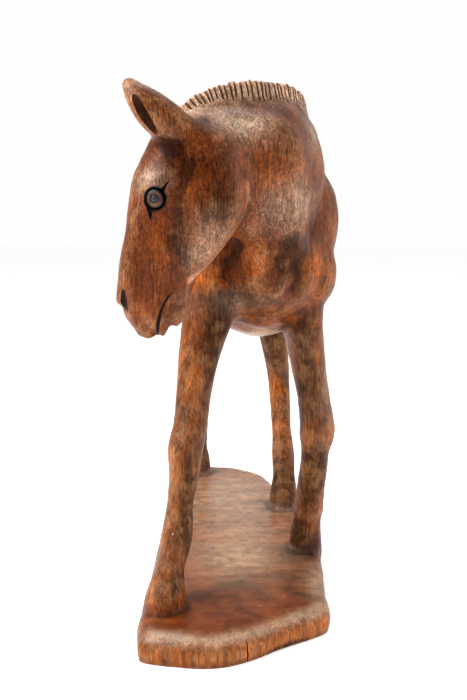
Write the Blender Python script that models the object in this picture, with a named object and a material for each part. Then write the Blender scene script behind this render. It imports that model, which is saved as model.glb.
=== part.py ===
"""A carved wooden foal standing on its own base, cut from one block of wood, with inlaid eyes.

+Z is up, the foal walks towards -Y and looks towards -X, so +X is its left side. The origin is on
the flat underside of the base. Tables are in millimetres and everything built from them is in metres.
"""

import math

import bmesh
import bpy
from mathutils import Matrix, Vector

MM = 0.001

# Driving dimensions, in millimetres
GAP = 0.3  # between a piece and the seat it sits in
EYE_RADIUS = 3.5
EYE_DEPTH = 4.0
EYE_DOME = 0.6
EYE_RING = 0.6  # width of the chamfer cut round the eye
PUPIL_RADIUS = 1.3
PUPIL_DEPTH = 2.0
MANE_HALF_THICKNESS = 2.4
KERF_PITCH = 2.5
KERF_WIDTH = 1.3
KERF_DEPTH = 6.5
MOUTH_WIDTH = 1.2

# Surface of the one-piece carving
VOXEL = 1.5
SMOOTH_PASSES = 4
KEPT_SHARE = 0.045

# Outline of the base seen from above, as (x, y), anticlockwise
BASE_OUTLINE = [
    (-38.5, -106.5), (-34.0, -109.0), (-20.5, -112.0), (-6.6, -112.3), (6.0, -107.6), (18.5, -98.8),
    (33.0, -89.6), (40.3, -84.0), (42.0, -76.0), (41.7, -60.0), (42.7, -40.0), (43.5, -20.0),
    (43.0, -5.0), (39.5, 22.0), (35.5, 50.0), (26.0, 80.0), (17.0, 101.0), (0.0, 113.0),
    (-20.0, 116.5), (-34.5, 109.0), (-39.5, 80.0), (-39.0, 30.0), (-39.0, -40.0), (-39.6, -66.0),
    (-40.2, -90.0),
]
BASE_LEVELS = [(-3.0, 1.5), (1.0, 0.6), (4.5, 0.0), (8.0, 0.9), (10.5, 3.0), (12.0, 7.5)]

# Lofts: each station is (x, y, z, half width, half height) of one oval section
TORSO = [
    (12.5, -58.0, 151.0, 13.0, 14.0), (13.0, -54.5, 151.5, 21.0, 21.5), (13.0, -46.0, 153.0, 27.5, 27.5),
    (13.5, -30.0, 155.0, 31.5, 33.0), (12.0, -8.0, 153.0, 30.5, 36.5), (9.0, 20.0, 150.5, 29.5, 35.5),
    (6.0, 50.0, 150.5, 28.5, 34.5), (3.5, 80.0, 153.0, 27.0, 32.0), (3.0, 100.0, 155.0, 22.0, 25.0),
    (3.0, 111.0, 155.0, 12.0, 14.0),
]
NECK = [
    (13.0, 6.0, 168.0, 21.0, 20.0), (20.0, -18.0, 183.0, 18.0, 26.0), (24.6, -38.0, 190.0, 15.6, 30.0),
    (19.0, -57.0, 191.5, 15.0, 29.5), (6.0, -69.0, 193.0, 14.5, 27.0), (-8.0, -76.0, 194.5, 13.5, 24.0),
    (-18.0, -81.0, 193.0, 12.0, 20.0),
]
THROAT = [
    (15.0, -55.0, 194.0, 16.0, 18.0), (15.0, -58.5, 180.0, 17.0, 18.5), (15.5, -57.0, 168.0, 15.5, 15.0),
    (15.5, -53.0, 157.0, 15.0, 14.0), (14.5, -46.0, 144.0, 17.0, 14.0),
]
HEAD = [
    (-13.5, -82.5, 211.0, 8.0, 7.0), (-13.9, -83.0, 205.0, 12.0, 16.0), (-14.9, -84.0, 196.5, 14.2, 20.0),
    (-15.7, -84.5, 191.5, 14.8, 21.2), (-16.6, -85.0, 187.0, 15.0, 22.2), (-19.4, -86.0, 178.5, 14.7, 21.8),
    (-24.6, -87.0, 167.0, 13.2, 18.5), (-29.0, -88.0, 156.5, 11.6, 15.4), (-31.3, -88.5, 144.8, 10.4, 14.5),
    (-32.0, -89.0, 138.8, 9.3, 13.6), (-33.6, -89.0, 135.0, 8.0, 10.4), (-33.7, -89.0, 131.8, 6.2, 6.2),
    (-33.1, -89.0, 130.0, 4.2, 3.0),
]
FRONT_RIGHT_LEG = [
    (-4.0, -46.0, 158.0, 15.0, 15.0), (-8.0, -49.0, 142.0, 12.7, 13.0), (-12.1, -53.0, 128.0, 10.5, 11.0),
    (-15.0, -57.0, 115.0, 9.0, 9.4), (-17.0, -61.0, 101.0, 7.9, 8.2), (-18.4, -65.0, 88.0, 7.3, 7.7),
    (-20.5, -69.0, 77.0, 7.6, 8.1), (-21.3, -72.0, 66.0, 6.6, 6.9), (-22.7, -74.5, 55.0, 5.7, 6.1),
    (-24.2, -77.5, 40.0, 6.5, 6.9), (-25.9, -79.5, 31.5, 6.0, 6.4), (-27.6, -81.5, 25.0, 6.9, 7.6),
    (-29.2, -83.0, 15.0, 8.7, 9.6), (-29.4, -83.2, 9.0, 9.3, 10.2),
]
FRONT_LEFT_LEG = [
    (29.0, -36.0, 160.0, 15.5, 16.0), (29.8, -35.0, 142.0, 13.0, 13.5), (31.8, -33.0, 128.0, 9.6, 10.6),
    (33.7, -31.5, 113.0, 8.6, 9.0), (36.9, -31.0, 96.0, 7.7, 8.0), (39.2, -31.5, 80.0, 8.1, 8.4),
    (39.4, -31.5, 73.0, 8.2, 8.4), (38.7, -29.5, 64.0, 6.6, 6.9), (38.2, -27.5, 54.0, 6.6, 6.7),
    (37.3, -25.0, 42.0, 7.1, 7.2), (36.6, -23.0, 32.0, 7.3, 7.6), (36.2, -22.0, 26.0, 7.0, 7.4),
    (35.8, -21.0, 19.0, 7.7, 8.4), (35.6, -20.5, 9.0, 8.3, 9.2),
]
HIND_LEFT_LEG = [
    (16.0, 84.0, 158.0, 14.5, 23.0), (19.0, 79.0, 140.0, 12.3, 18.0), (20.8, 72.0, 122.0, 9.2, 13.4),
    (22.8, 68.5, 106.0, 7.9, 9.8), (24.9, 69.0, 92.0, 7.1, 8.3), (26.5, 71.0, 79.0, 6.4, 8.1),
    (27.4, 67.0, 66.0, 5.9, 6.5), (27.9, 60.0, 51.0, 5.7, 6.0), (28.7, 53.0, 38.0, 6.5, 6.7),
    (28.7, 46.0, 28.5, 6.5, 6.7), (28.4, 41.5, 22.0, 7.2, 7.6), (28.0, 38.0, 14.0, 7.9, 8.6),
    (28.0, 36.5, 8.0, 8.2, 9.1),
]
HIND_RIGHT_LEG = [
    (-8.0, 87.0, 158.0, 14.0, 22.0), (-11.0, 89.0, 140.0, 11.7, 17.0), (-13.7, 94.0, 122.0, 9.4, 12.8),
    (-16.0, 101.0, 106.0, 7.7, 9.3), (-17.5, 107.0, 93.0, 6.8, 8.0), (-18.8, 110.0, 81.0, 6.4, 8.0),
    (-20.0, 109.0, 68.0, 5.9, 6.4), (-21.5, 107.0, 54.0, 5.7, 6.0), (-22.6, 104.0, 40.0, 6.3, 6.6),
    (-22.8, 101.0, 30.0, 6.0, 6.3), (-22.2, 99.0, 22.0, 6.9, 7.5), (-21.5, 98.0, 8.0, 8.1, 9.1),
]
TAIL = [
    (3.0, 102.0, 177.5, 5.5, 5.5), (3.5, 110.5, 171.0, 5.8, 5.4), (4.0, 114.5, 158.0, 6.3, 5.4),
    (4.0, 114.5, 143.0, 5.9, 5.0), (4.0, 111.0, 127.0, 4.0, 3.4),
]
NEAR_EAR = [
    (-17.0, -90.0, 203.5, 7.0, 7.0), (-23.2, -92.5, 209.3, 7.3, 7.4), (-29.9, -94.0, 214.6, 6.8, 6.9),
    (-35.2, -94.5, 219.8, 5.2, 5.1), (-39.2, -94.5, 224.8, 2.5, 2.3),
]
FAR_EAR = [
    (-16.5, -77.5, 203.0, 7.0, 7.0), (-21.8, -75.5, 209.2, 7.2, 7.4), (-28.0, -74.5, 215.2, 6.4, 6.3),
    (-33.0, -74.0, 220.2, 4.6, 4.2), (-37.2, -74.0, 224.4, 2.2, 2.0),
]
# Hollows of the ears: the point on the ear's axis, and the way the hollow opens
EAR_HOLLOWS = {
    "near": ((-30.6, -94.2, 216.2), (-0.45, -0.80, -0.30)),
    "far": ((-29.0, -74.4, 216.0), (-0.45, 0.80, -0.30)),
}
EAR_HOLLOW_RADII = (8.6, 1.4, 5.4)  # along the ear, across it, and in depth
# Muscle masses: (x, y, z) centre and (x, y, z) radii
MASSES = [
    ((29.5, -29.0, 172.0), (18.0, 24.0, 28.0)),
    ((33.0, -36.0, 149.5), (13.5, 15.0, 17.0)),
    ((2.0, -34.0, 166.0), (16.5, 22.0, 24.0)),
    ((-2.0, -49.0, 148.0), (13.0, 13.0, 17.0)),
    ((4.0, -70.0, 200.0), (26.0, 13.5, 18.0)),
    ((-28.2, -89.0, 132.4), (2.6, 6.0, 2.6)),
    ((15.0, 84.0, 160.0), (14.5, 24.0, 23.0)),
    ((-8.0, 86.0, 160.0), (14.5, 24.0, 23.0)),
]
# Ridge of the mane: (x, y, height of the crest, height of the hair above it)
MANE = [
    (-20.0, -82.0, 213.6, 3.6), (-14.0, -79.5, 217.5, 4.9), (-6.0, -75.0, 219.7, 6.6),
    (4.0, -69.5, 220.3, 8.5), (13.0, -62.5, 220.5, 9.3), (22.0, -52.0, 220.8, 8.6),
    (28.5, -40.0, 219.0, 8.8), (30.3, -27.0, 213.5, 7.8), (26.0, -14.0, 206.0, 6.0),
    (19.0, -2.0, 197.0, 4.5), (13.5, 8.0, 189.5, 2.5),
]
# Cut of the mouth: (x, z) along it and how far from the head's middle plane it stops
MOUTH = [
    (-30.6, 124.0, 0.9), (-29.8, 130.5, 2.1), (-29.0, 135.2, 5.1), (-27.9, 139.8, 6.7),
    (-26.3, 143.6, 7.4), (-24.6, 146.2, 7.9), (-22.8, 147.8, 9.6),
]
HEAD_MIDDLE_Y = -88.8
# Nostrils: (x, distance from the middle plane, z) centre and radii
NOSTRIL = ((-42.9, 7.0, 143.2), (1.9, 2.4, 5.4))
# Eyes: a point on the eye's axis at the skin, and the way the eye looks
EYES = {
    "left": ((-29.2, -98.6, 182.5), (-0.28, -1.0, 0.0)),
    "right": ((-29.2, -73.0, 182.5), (-0.28, 1.0, 0.0)),
}

WOOD = ("carved_wood", (0.30, 0.105, 0.035), 0.5)
EYE_WOOD = ("eye_wood", (0.20, 0.09, 0.05), 0.3)
PUPIL_HORN = ("pupil_horn", (0.05, 0.065, 0.075), 0.25)

UP = Vector((0, 0, 1))
HEAD_POWER = 2.5  # squareness of the head's sections; 2 is an ellipse


def clear_scene():
    for obj in list(bpy.data.objects):
        bpy.data.objects.remove(obj, do_unlink=True)


def material(name, colour, roughness):
    made = bpy.data.materials.new(name)
    made.use_nodes = True
    shader = made.node_tree.nodes["Principled BSDF"]
    shader.inputs["Base Color"].default_value = (*colour, 1.0)
    shader.inputs["Roughness"].default_value = roughness
    shader.inputs["Metallic"].default_value = 0.0
    return made


def add_object(name, mesh, shown=True):
    obj = bpy.data.objects.new(name, mesh)
    bpy.context.scene.collection.objects.link(obj)
    if not shown:
        obj.hide_render = True
        obj.display_type = "WIRE"
    return obj


def curve_through(points, steps):
    """Catmull-Rom points through a table's rows, steps to a span, ends included."""
    rows = [Vector(p) for p in points]
    rows = [2 * rows[0] - rows[1], *rows, 2 * rows[-1] - rows[-2]]
    made = []
    for before, start, end, after in zip(rows, rows[1:], rows[2:], rows[3:]):
        for step in range(steps):
            t = step / steps
            made.append(
                0.5
                * (
                    2 * start
                    + (end - before) * t
                    + (2 * before - 5 * start + 4 * end - after) * t**2
                    + (3 * start - 3 * end + after - before) * t**3
                )
            )
    return [*made, rows[-2].copy()]


def ring(bm, centre, across, rise, sides, power=2.0):
    """Vertices of one oval section, in metres. A power over 2 squares the oval."""
    made = []
    for k in range(sides):
        angle = 2 * math.pi * k / sides
        wide = math.copysign(abs(math.cos(angle)) ** (2 / power), math.cos(angle))
        high = math.copysign(abs(math.sin(angle)) ** (2 / power), math.sin(angle))
        made.append(bm.verts.new((centre + across * wide + rise * high) * MM))
    return made


def skin_rings(bm, rings):
    """Side faces between neighbouring rings, and a face on each end."""
    sides = len(rings[0])
    for low, high in zip(rings, rings[1:]):
        for k in range(sides):
            bm.faces.new((low[k], low[(k + 1) % sides], high[(k + 1) % sides], high[k]))
    bm.faces.new(list(reversed(rings[0])))
    bm.faces.new(rings[-1])


def add_loft(bm, stations, up, sides=20, steps=4, power=2.0):
    """A closed body of oval sections along the stations' centres, with domed ends."""
    centres = curve_through([s[:3] for s in stations], steps)
    sizes = curve_through([(s[3], s[4], 0.0) for s in stations], steps)
    rings = []
    count = len(centres)
    for k, (centre, size) in enumerate(zip(centres, sizes)):
        along = (centres[min(k + 1, count - 1)] - centres[max(k - 1, 0)]).normalized()
        across = along.cross(up).normalized()
        rise = across.cross(along)
        rings.append((centre, along, across * size.x, rise * size.y))
    first, last = rings[0], rings[-1]
    domed = [dome(first, -1, share) for share in (0.95, 0.7)]
    domed += [(c, a, r) for c, _, a, r in rings]
    domed += [dome(last, 1, share) for share in (0.7, 0.95)]
    skin_rings(bm, [ring(bm, c, a, r, sides, power) for c, a, r in domed])


def dome(section, way, share):
    """A smaller section beyond an end one, on the quarter circle that rounds the end off."""
    centre, along, across, rise = section
    reach = min(across.length, rise.length) * 0.6
    shrink = math.sqrt(1 - share**2)
    return centre + along * way * reach * share, across * shrink, rise * shrink


def add_base(bm):
    """The base: the outline at several heights, drawn in towards its top and bottom edges."""
    outline = curve_through([(*p, 0.0) for p in [*BASE_OUTLINE, BASE_OUTLINE[0]]], 3)[:-1]
    rings = []
    for height, inset in BASE_LEVELS:
        made = []
        for k, point in enumerate(outline):
            along = outline[(k + 1) % len(outline)] - outline[k - 1]
            inward = UP.cross(along).normalized()
            made.append(bm.verts.new((point + inward * inset + UP * height) * MM))
        rings.append(made)
    skin_rings(bm, rings)


def add_mass(bm, centre, radii):
    matrix = Matrix.Translation(Vector(centre) * MM) @ Matrix.Diagonal((*(Vector(radii) * MM), 1.0))
    bmesh.ops.create_icosphere(bm, subdivisions=3, radius=1.0, matrix=matrix)


def add_mane(bm):
    """A fin along the neck's crest, thinner at its upper edge."""
    centres = curve_through([(x, y, z) for x, y, z, _ in MANE], 4)
    heights = curve_through([(h, 0.0, 0.0) for *_, h in MANE], 4)
    rings = []
    for k, (centre, height) in enumerate(zip(centres, heights)):
        along = centres[min(k + 1, len(centres) - 1)] - centres[max(k - 1, 0)]
        across = along.cross(UP).normalized() * MANE_HALF_THICKNESS
        foot = centre - UP * 7.0
        top = centre + UP * height.x
        corners = [
            foot + across * 3.0, centre + across * 1.3, top + across * 0.55,
            top - across * 0.55, centre - across * 1.3, foot - across * 3.0,
        ]
        rings.append([bm.verts.new(c * MM) for c in corners])
    skin_rings(bm, rings)


def new_object(name, build, shown=True):
    """An object whose mesh the function build fills in a bmesh."""
    mesh = bpy.data.meshes.new(name)
    bm = bmesh.new()
    build(bm)
    bmesh.ops.recalc_face_normals(bm, faces=bm.faces)
    bm.to_mesh(mesh)
    bm.free()
    return add_object(name, mesh, shown)


def carve(target, name, build):
    """Cuts the target with a hidden helper whose shape the function build makes."""
    modifier = target.modifiers.new(name, "BOOLEAN")
    modifier.operation = "DIFFERENCE"
    modifier.object = new_object(name, build, shown=False)


def facing(point, direction):
    """The matrix, in metres, that puts local +Z along a direction at a point in millimetres."""
    turn = Vector(direction).normalized().to_track_quat("Z", "Y").to_matrix().to_4x4()
    return Matrix.Translation(Vector(point) * MM) @ turn


def add_turned(bm, profile, matrix, sides=32):
    """A solid turned about the matrix's +Z from (radius, height) points in millimetres."""
    rings = []
    for radius, height in profile:
        angles = [2 * math.pi * k / sides for k in range(sides)]
        around = [Vector((radius * math.cos(a), radius * math.sin(a), height)) * MM for a in angles]
        rings.append([bm.verts.new(matrix @ point) for point in around])
    skin_rings(bm, rings)


def add_underside_block(bm):
    """The block sawn away below z = 0."""
    size = Matrix.Diagonal((200 * MM, 400 * MM, 40 * MM, 1.0))
    bmesh.ops.create_cube(bm, size=1.0, matrix=Matrix.Translation((0, 0, -20 * MM)) @ size)


def add_eye_seats(bm):
    """Bores for the eyes, each with a chamfered mouth that leaves a dark ring round the eye."""
    bore = EYE_RADIUS + GAP
    profile = [(bore, -EYE_DEPTH - GAP), (bore, -1.2), (bore + EYE_RING, 0.2), (bore + EYE_RING, 4.0)]
    for point, direction in EYES.values():
        add_turned(bm, profile, facing(point, direction))


def add_kerfs(bm):
    """Saw cuts across the mane, each a wedge that is widest at the top."""
    centres = curve_through([(x, y, z + h) for x, y, z, h in MANE], 8)
    run = 0.0
    next_cut = KERF_PITCH
    for low, high in zip(centres, centres[1:]):
        run += (high - low).length
        if run < next_cut:
            continue
        next_cut += KERF_PITCH
        along = (high - low).normalized()
        across = along.cross(UP).normalized()
        lift = across.cross(along)
        top, foot = high + lift * 4.0, high - lift * KERF_DEPTH
        mouth, tip = along * KERF_WIDTH * 0.5, along * 0.15
        loop = [top - mouth, top + mouth, foot + tip, foot - tip]
        skin_rings(bm, [[bm.verts.new((p + side) * MM) for p in loop] for side in (-across * 5, across * 5)])


def add_mouth(bm):
    """A narrow cut up each side of the muzzle from its tip."""
    half = MOUTH_WIDTH / 2
    curve = curve_through(MOUTH, 3)
    for side in (-1, 1):
        rings = []
        for k, point in enumerate(curve):
            step = curve[min(k + 1, len(curve) - 1)] - curve[max(k - 1, 0)]
            normal = Vector((-step.y, 0, step.x)).normalized() * half
            inner = Vector((point.x, HEAD_MIDDLE_Y + side * (point.z - 0.5), point.y))
            outer = Vector((point.x, HEAD_MIDDLE_Y + side * 20.0, point.y))
            corners = (inner - normal * 0.2, outer - normal, outer + normal, inner + normal * 0.2)
            rings.append([bm.verts.new(c * MM) for c in corners])
        skin_rings(bm, rings)


def add_nostrils(bm):
    (x, out, z), radii = NOSTRIL
    for side in (-1, 1):
        size = Matrix.Diagonal((*(Vector(radii) * MM), 1.0))
        place = Matrix.Translation(Vector((x, HEAD_MIDDLE_Y + side * out, z)) * MM)
        bmesh.ops.create_icosphere(bm, subdivisions=2, radius=1.0, matrix=place @ size)


def add_ear_hollows(bm):
    """A long scoop down the front of each ear."""
    for point, direction in EAR_HOLLOWS.values():
        depth = Vector(direction).normalized()
        along = Vector((-0.45, 0, 0.89))
        along = (along - depth * along.dot(depth)).normalized()
        frame = Matrix((along, depth.cross(along), depth)).transposed().to_4x4()
        size = Matrix.Diagonal((*(Vector(EAR_HOLLOW_RADII) * MM), 1.0))
        place = Matrix.Translation((Vector(point) + depth * 6.0) * MM)
        bmesh.ops.create_icosphere(bm, subdivisions=3, radius=1.0, matrix=place @ frame @ size)


def add_block(bm):
    """Every mass of the figure and its base, overlapping, before they are worked into one surface."""
    add_base(bm)
    add_loft(bm, TORSO, UP, sides=28)
    add_loft(bm, NECK, UP, sides=24)
    add_loft(bm, THROAT, Vector((0, -1, 0)), sides=24)
    add_loft(bm, HEAD, Vector((-1, 0, 0)), sides=24, power=HEAD_POWER)
    for leg in (FRONT_RIGHT_LEG, FRONT_LEFT_LEG, HIND_LEFT_LEG, HIND_RIGHT_LEG):
        add_loft(bm, leg, Vector((0, -1, 0)), sides=16)
    add_loft(bm, TAIL, Vector((0, 1, 0)), sides=12)
    for ear in (NEAR_EAR, FAR_EAR):
        add_loft(bm, ear, Vector((-1, 0, -1)), sides=14)
    for centre, radii in MASSES:
        add_mass(bm, centre, radii)
    add_mane(bm)


def build_carving():
    """The one-piece carving: the masses fused, smoothed and thinned, then cut like wood."""
    carving = new_object("carving", add_block)
    remesh = carving.modifiers.new("one block", "REMESH")
    remesh.mode = "VOXEL"
    remesh.voxel_size = VOXEL * MM
    smooth = carving.modifiers.new("worked smooth", "SMOOTH")
    smooth.factor = 0.5
    smooth.iterations = SMOOTH_PASSES
    thin = carving.modifiers.new("fewer facets", "DECIMATE")
    thin.ratio = KEPT_SHARE
    carve(carving, "underside_cutter", add_underside_block)
    carve(carving, "eye_seat_cutter", add_eye_seats)
    carve(carving, "kerf_cutter", add_kerfs)
    carve(carving, "mouth_cutter", add_mouth)
    carve(carving, "nostril_cutter", add_nostrils)
    carve(carving, "ear_cutter", add_ear_hollows)
    carving.data.materials.append(material(*WOOD))
    return carving


def domed_plug(radius, depth, dome):
    """(radius, height) points of a plug whose face, at height 0, swells by dome at its middle."""
    face = [(radius * math.sin(a), dome * math.cos(a)) for a in (math.pi * k / 12 for k in range(6, 0, -1))]
    return [(radius, -depth), *face]


def build_eye(side):
    """The turned eye plug in its seat in the carving, and the pupil pin set in the plug."""
    point, direction = EYES[side]
    matrix = facing(point, direction)
    plug = domed_plug(EYE_RADIUS, EYE_DEPTH, EYE_DOME)
    eye = new_object(f"eye_{side}", lambda bm: add_turned(bm, plug, matrix))
    eye.data.materials.append(material(*EYE_WOOD))
    bore = PUPIL_RADIUS + GAP
    carve(
        eye,
        f"pupil_seat_cutter_{side}",
        lambda bm: add_turned(bm, [(bore, -PUPIL_DEPTH - GAP), (bore, 3.0)], matrix, sides=20),
    )
    pin = domed_plug(PUPIL_RADIUS, PUPIL_DEPTH + EYE_DOME, 0.3)
    lifted = matrix @ Matrix.Translation((0, 0, EYE_DOME * MM))
    pupil = new_object(f"pupil_{side}", lambda bm: add_turned(bm, pin, lifted, sides=20))
    pupil.data.materials.append(material(*PUPIL_HORN))


def main():
    clear_scene()
    build_carving()
    for side in EYES:
        build_eye(side)


main()
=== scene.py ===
"""The carved wooden foal as it looks: a finer carved skin, cut details, wood and soft studio light.

+Z is up, the foal walks towards -Y and looks towards -X. Tables are in millimetres, as in the CAD.
"""

import math
import random

import bmesh
import bpy
import numpy as np
from mathutils import Matrix, Vector, noise


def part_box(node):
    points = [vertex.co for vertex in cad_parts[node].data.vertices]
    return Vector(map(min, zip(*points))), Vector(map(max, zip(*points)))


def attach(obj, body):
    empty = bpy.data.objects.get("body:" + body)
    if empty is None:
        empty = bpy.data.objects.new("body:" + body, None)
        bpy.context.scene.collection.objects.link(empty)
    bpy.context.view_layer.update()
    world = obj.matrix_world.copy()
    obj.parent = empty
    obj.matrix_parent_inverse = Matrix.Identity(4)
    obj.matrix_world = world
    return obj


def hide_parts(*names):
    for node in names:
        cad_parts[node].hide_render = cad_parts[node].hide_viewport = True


MM = 0.001
UP = Vector((0, 0, 1))
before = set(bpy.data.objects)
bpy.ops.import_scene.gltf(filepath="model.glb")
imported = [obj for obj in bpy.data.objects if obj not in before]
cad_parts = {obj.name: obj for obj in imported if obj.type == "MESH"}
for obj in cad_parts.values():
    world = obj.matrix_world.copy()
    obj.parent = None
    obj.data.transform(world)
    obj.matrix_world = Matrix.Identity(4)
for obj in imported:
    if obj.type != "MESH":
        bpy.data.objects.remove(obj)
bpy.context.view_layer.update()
SEED = 11

VOXEL = 0.95
MANE_HALF_THICKNESS = 2.4
HEAD_MIDDLE_Y = -88.8
EYE_MIDDLE_Y = -85.8

# The foal's material slots. Slot 0 is the wood.
DARK_CUT, MANE_CUT, EAR_CUT = 1, 2, 3

# The masses of the figure, as in the CAD model
BASE_OUTLINE = [
    (-38.5, -106.5), (-34.0, -109.0), (-20.5, -112.0), (-6.6, -112.3), (6.0, -107.6), (18.5, -98.8),
    (33.0, -89.6), (40.3, -84.0), (42.0, -76.0), (41.7, -60.0), (42.7, -40.0), (43.5, -20.0),
    (43.0, -5.0), (39.5, 22.0), (35.5, 50.0), (26.0, 80.0), (17.0, 101.0), (0.0, 113.0),
    (-20.0, 116.5), (-34.5, 109.0), (-39.5, 80.0), (-39.0, 30.0), (-39.0, -40.0), (-39.6, -66.0),
    (-40.2, -90.0),
]
BASE_LEVELS = [(-3.0, 1.5), (1.0, 0.6), (4.5, 0.0), (8.0, 0.9), (10.5, 3.0), (12.0, 7.5)]
TORSO = [
    (12.5, -58.0, 151.0, 13.0, 14.0), (13.0, -54.5, 151.5, 21.0, 21.5), (13.0, -46.0, 153.0, 27.5, 27.5),
    (13.5, -30.0, 155.0, 31.5, 33.0), (12.0, -8.0, 153.0, 30.5, 36.5), (9.0, 20.0, 150.5, 29.5, 35.5),
    (6.0, 50.0, 150.5, 28.5, 34.5), (3.5, 80.0, 153.0, 27.0, 32.0), (3.0, 100.0, 155.0, 22.0, 25.0),
    (3.0, 111.0, 155.0, 12.0, 14.0),
]
NECK = [
    (13.0, 6.0, 168.0, 21.0, 20.0), (20.0, -18.0, 183.0, 18.0, 26.0), (24.6, -38.0, 190.0, 15.6, 30.0),
    (19.0, -57.0, 191.5, 15.0, 29.5), (6.0, -69.0, 193.0, 14.5, 27.0), (-8.0, -76.0, 194.5, 13.5, 24.0),
    (-18.0, -81.0, 193.0, 12.0, 20.0),
]
THROAT = [
    (15.0, -55.0, 194.0, 16.0, 18.0), (15.0, -58.5, 180.0, 17.0, 18.5), (15.5, -57.0, 168.0, 15.5, 15.0),
    (15.5, -53.0, 157.0, 15.0, 14.0), (14.5, -46.0, 144.0, 17.0, 14.0),
]
HEAD = [
    (-13.5, -82.5, 211.0, 8.0, 7.0), (-13.9, -83.0, 205.0, 12.0, 16.0), (-14.9, -84.0, 196.5, 14.2, 20.0),
    (-15.7, -84.5, 191.5, 14.8, 21.2), (-16.6, -85.0, 187.0, 15.0, 22.2), (-19.4, -86.0, 178.5, 14.7, 21.8),
    (-24.6, -87.0, 167.0, 13.2, 18.5), (-29.0, -88.0, 156.5, 11.6, 15.4), (-31.3, -88.5, 144.8, 10.4, 14.5),
    (-32.0, -89.0, 138.8, 9.3, 13.6), (-33.6, -89.0, 135.0, 8.0, 10.4), (-33.7, -89.0, 131.8, 6.2, 6.2),
    (-33.1, -89.0, 130.0, 4.2, 3.0),
]
FRONT_RIGHT_LEG = [
    (-4.0, -46.0, 158.0, 15.0, 15.0), (-8.0, -49.0, 142.0, 12.7, 13.0), (-12.1, -53.0, 128.0, 10.5, 11.0),
    (-15.0, -57.0, 115.0, 9.0, 9.4), (-17.0, -61.0, 101.0, 7.9, 8.2), (-18.4, -65.0, 88.0, 7.3, 7.7),
    (-20.5, -69.0, 77.0, 7.6, 8.1), (-21.3, -72.0, 66.0, 6.6, 6.9), (-22.7, -74.5, 55.0, 5.7, 6.1),
    (-24.2, -77.5, 40.0, 6.5, 6.9), (-25.9, -79.5, 31.5, 6.0, 6.4), (-27.6, -81.5, 25.0, 6.9, 7.6),
    (-29.2, -83.0, 15.0, 8.7, 9.6), (-29.4, -83.2, 9.0, 9.3, 10.2),
]
FRONT_LEFT_LEG = [
    (29.0, -36.0, 160.0, 15.5, 16.0), (29.8, -35.0, 142.0, 13.0, 13.5), (31.8, -33.0, 128.0, 9.6, 10.6),
    (33.7, -31.5, 113.0, 8.6, 9.0), (36.9, -31.0, 96.0, 7.7, 8.0), (39.2, -31.5, 80.0, 8.1, 8.4),
    (39.4, -31.5, 73.0, 8.2, 8.4), (38.7, -29.5, 64.0, 6.6, 6.9), (38.2, -27.5, 54.0, 6.6, 6.7),
    (37.3, -25.0, 42.0, 7.1, 7.2), (36.6, -23.0, 32.0, 7.3, 7.6), (36.2, -22.0, 26.0, 7.0, 7.4),
    (35.8, -21.0, 19.0, 7.7, 8.4), (35.6, -20.5, 9.0, 8.3, 9.2),
]
HIND_LEFT_LEG = [
    (16.0, 84.0, 158.0, 14.5, 23.0), (19.0, 79.0, 140.0, 12.3, 18.0), (20.8, 72.0, 122.0, 9.2, 13.4),
    (22.8, 68.5, 106.0, 7.9, 9.8), (24.9, 69.0, 92.0, 7.1, 8.3), (26.5, 71.0, 79.0, 6.4, 8.1),
    (27.4, 67.0, 66.0, 5.9, 6.5), (27.9, 60.0, 51.0, 5.7, 6.0), (28.7, 53.0, 38.0, 6.5, 6.7),
    (28.7, 46.0, 28.5, 6.5, 6.7), (28.4, 41.5, 22.0, 7.2, 7.6), (28.0, 38.0, 14.0, 7.9, 8.6),
    (28.0, 36.5, 8.0, 8.2, 9.1),
]
HIND_RIGHT_LEG = [
    (-8.0, 87.0, 158.0, 14.0, 22.0), (-11.0, 89.0, 140.0, 11.7, 17.0), (-13.7, 94.0, 122.0, 9.4, 12.8),
    (-16.0, 101.0, 106.0, 7.7, 9.3), (-17.5, 107.0, 93.0, 6.8, 8.0), (-18.8, 110.0, 81.0, 6.4, 8.0),
    (-20.0, 109.0, 68.0, 5.9, 6.4), (-21.5, 107.0, 54.0, 5.7, 6.0), (-22.6, 104.0, 40.0, 6.3, 6.6),
    (-22.8, 101.0, 30.0, 6.0, 6.3), (-22.2, 99.0, 22.0, 6.9, 7.5), (-21.5, 98.0, 8.0, 8.1, 9.1),
]
TAIL = [
    (3.0, 102.0, 177.5, 5.5, 5.5), (3.5, 110.5, 171.0, 5.8, 5.4), (4.0, 114.5, 158.0, 6.3, 5.4),
    (4.0, 114.5, 143.0, 5.9, 5.0), (4.0, 111.0, 127.0, 4.0, 3.4),
]
NEAR_EAR = [
    (-17.0, -90.0, 203.5, 7.0, 7.0), (-23.2, -92.5, 209.3, 7.3, 7.4), (-29.9, -94.0, 214.6, 6.8, 6.9),
    (-35.2, -94.5, 219.8, 5.2, 5.1), (-39.2, -94.5, 224.8, 2.5, 2.3),
]
FAR_EAR = [
    (-16.5, -77.5, 203.0, 7.0, 7.0), (-21.8, -75.5, 209.2, 7.2, 7.4), (-28.0, -74.5, 215.2, 6.4, 6.3),
    (-33.0, -74.0, 220.2, 4.6, 4.2), (-37.2, -74.0, 224.4, 2.2, 2.0),
]
MASSES = [
    ((29.5, -29.0, 172.0), (18.0, 24.0, 28.0)),
    ((33.0, -36.0, 149.5), (13.5, 15.0, 17.0)),
    ((2.0, -34.0, 166.0), (16.5, 22.0, 24.0)),
    ((-2.0, -49.0, 148.0), (13.0, 13.0, 17.0)),
    ((4.0, -70.0, 200.0), (26.0, 13.5, 18.0)),
    ((-28.2, -89.0, 132.4), (2.6, 6.0, 2.6)),
    ((15.0, 84.0, 160.0), (14.5, 24.0, 23.0)),
    ((-8.0, 86.0, 160.0), (14.5, 24.0, 23.0)),
]
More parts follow.
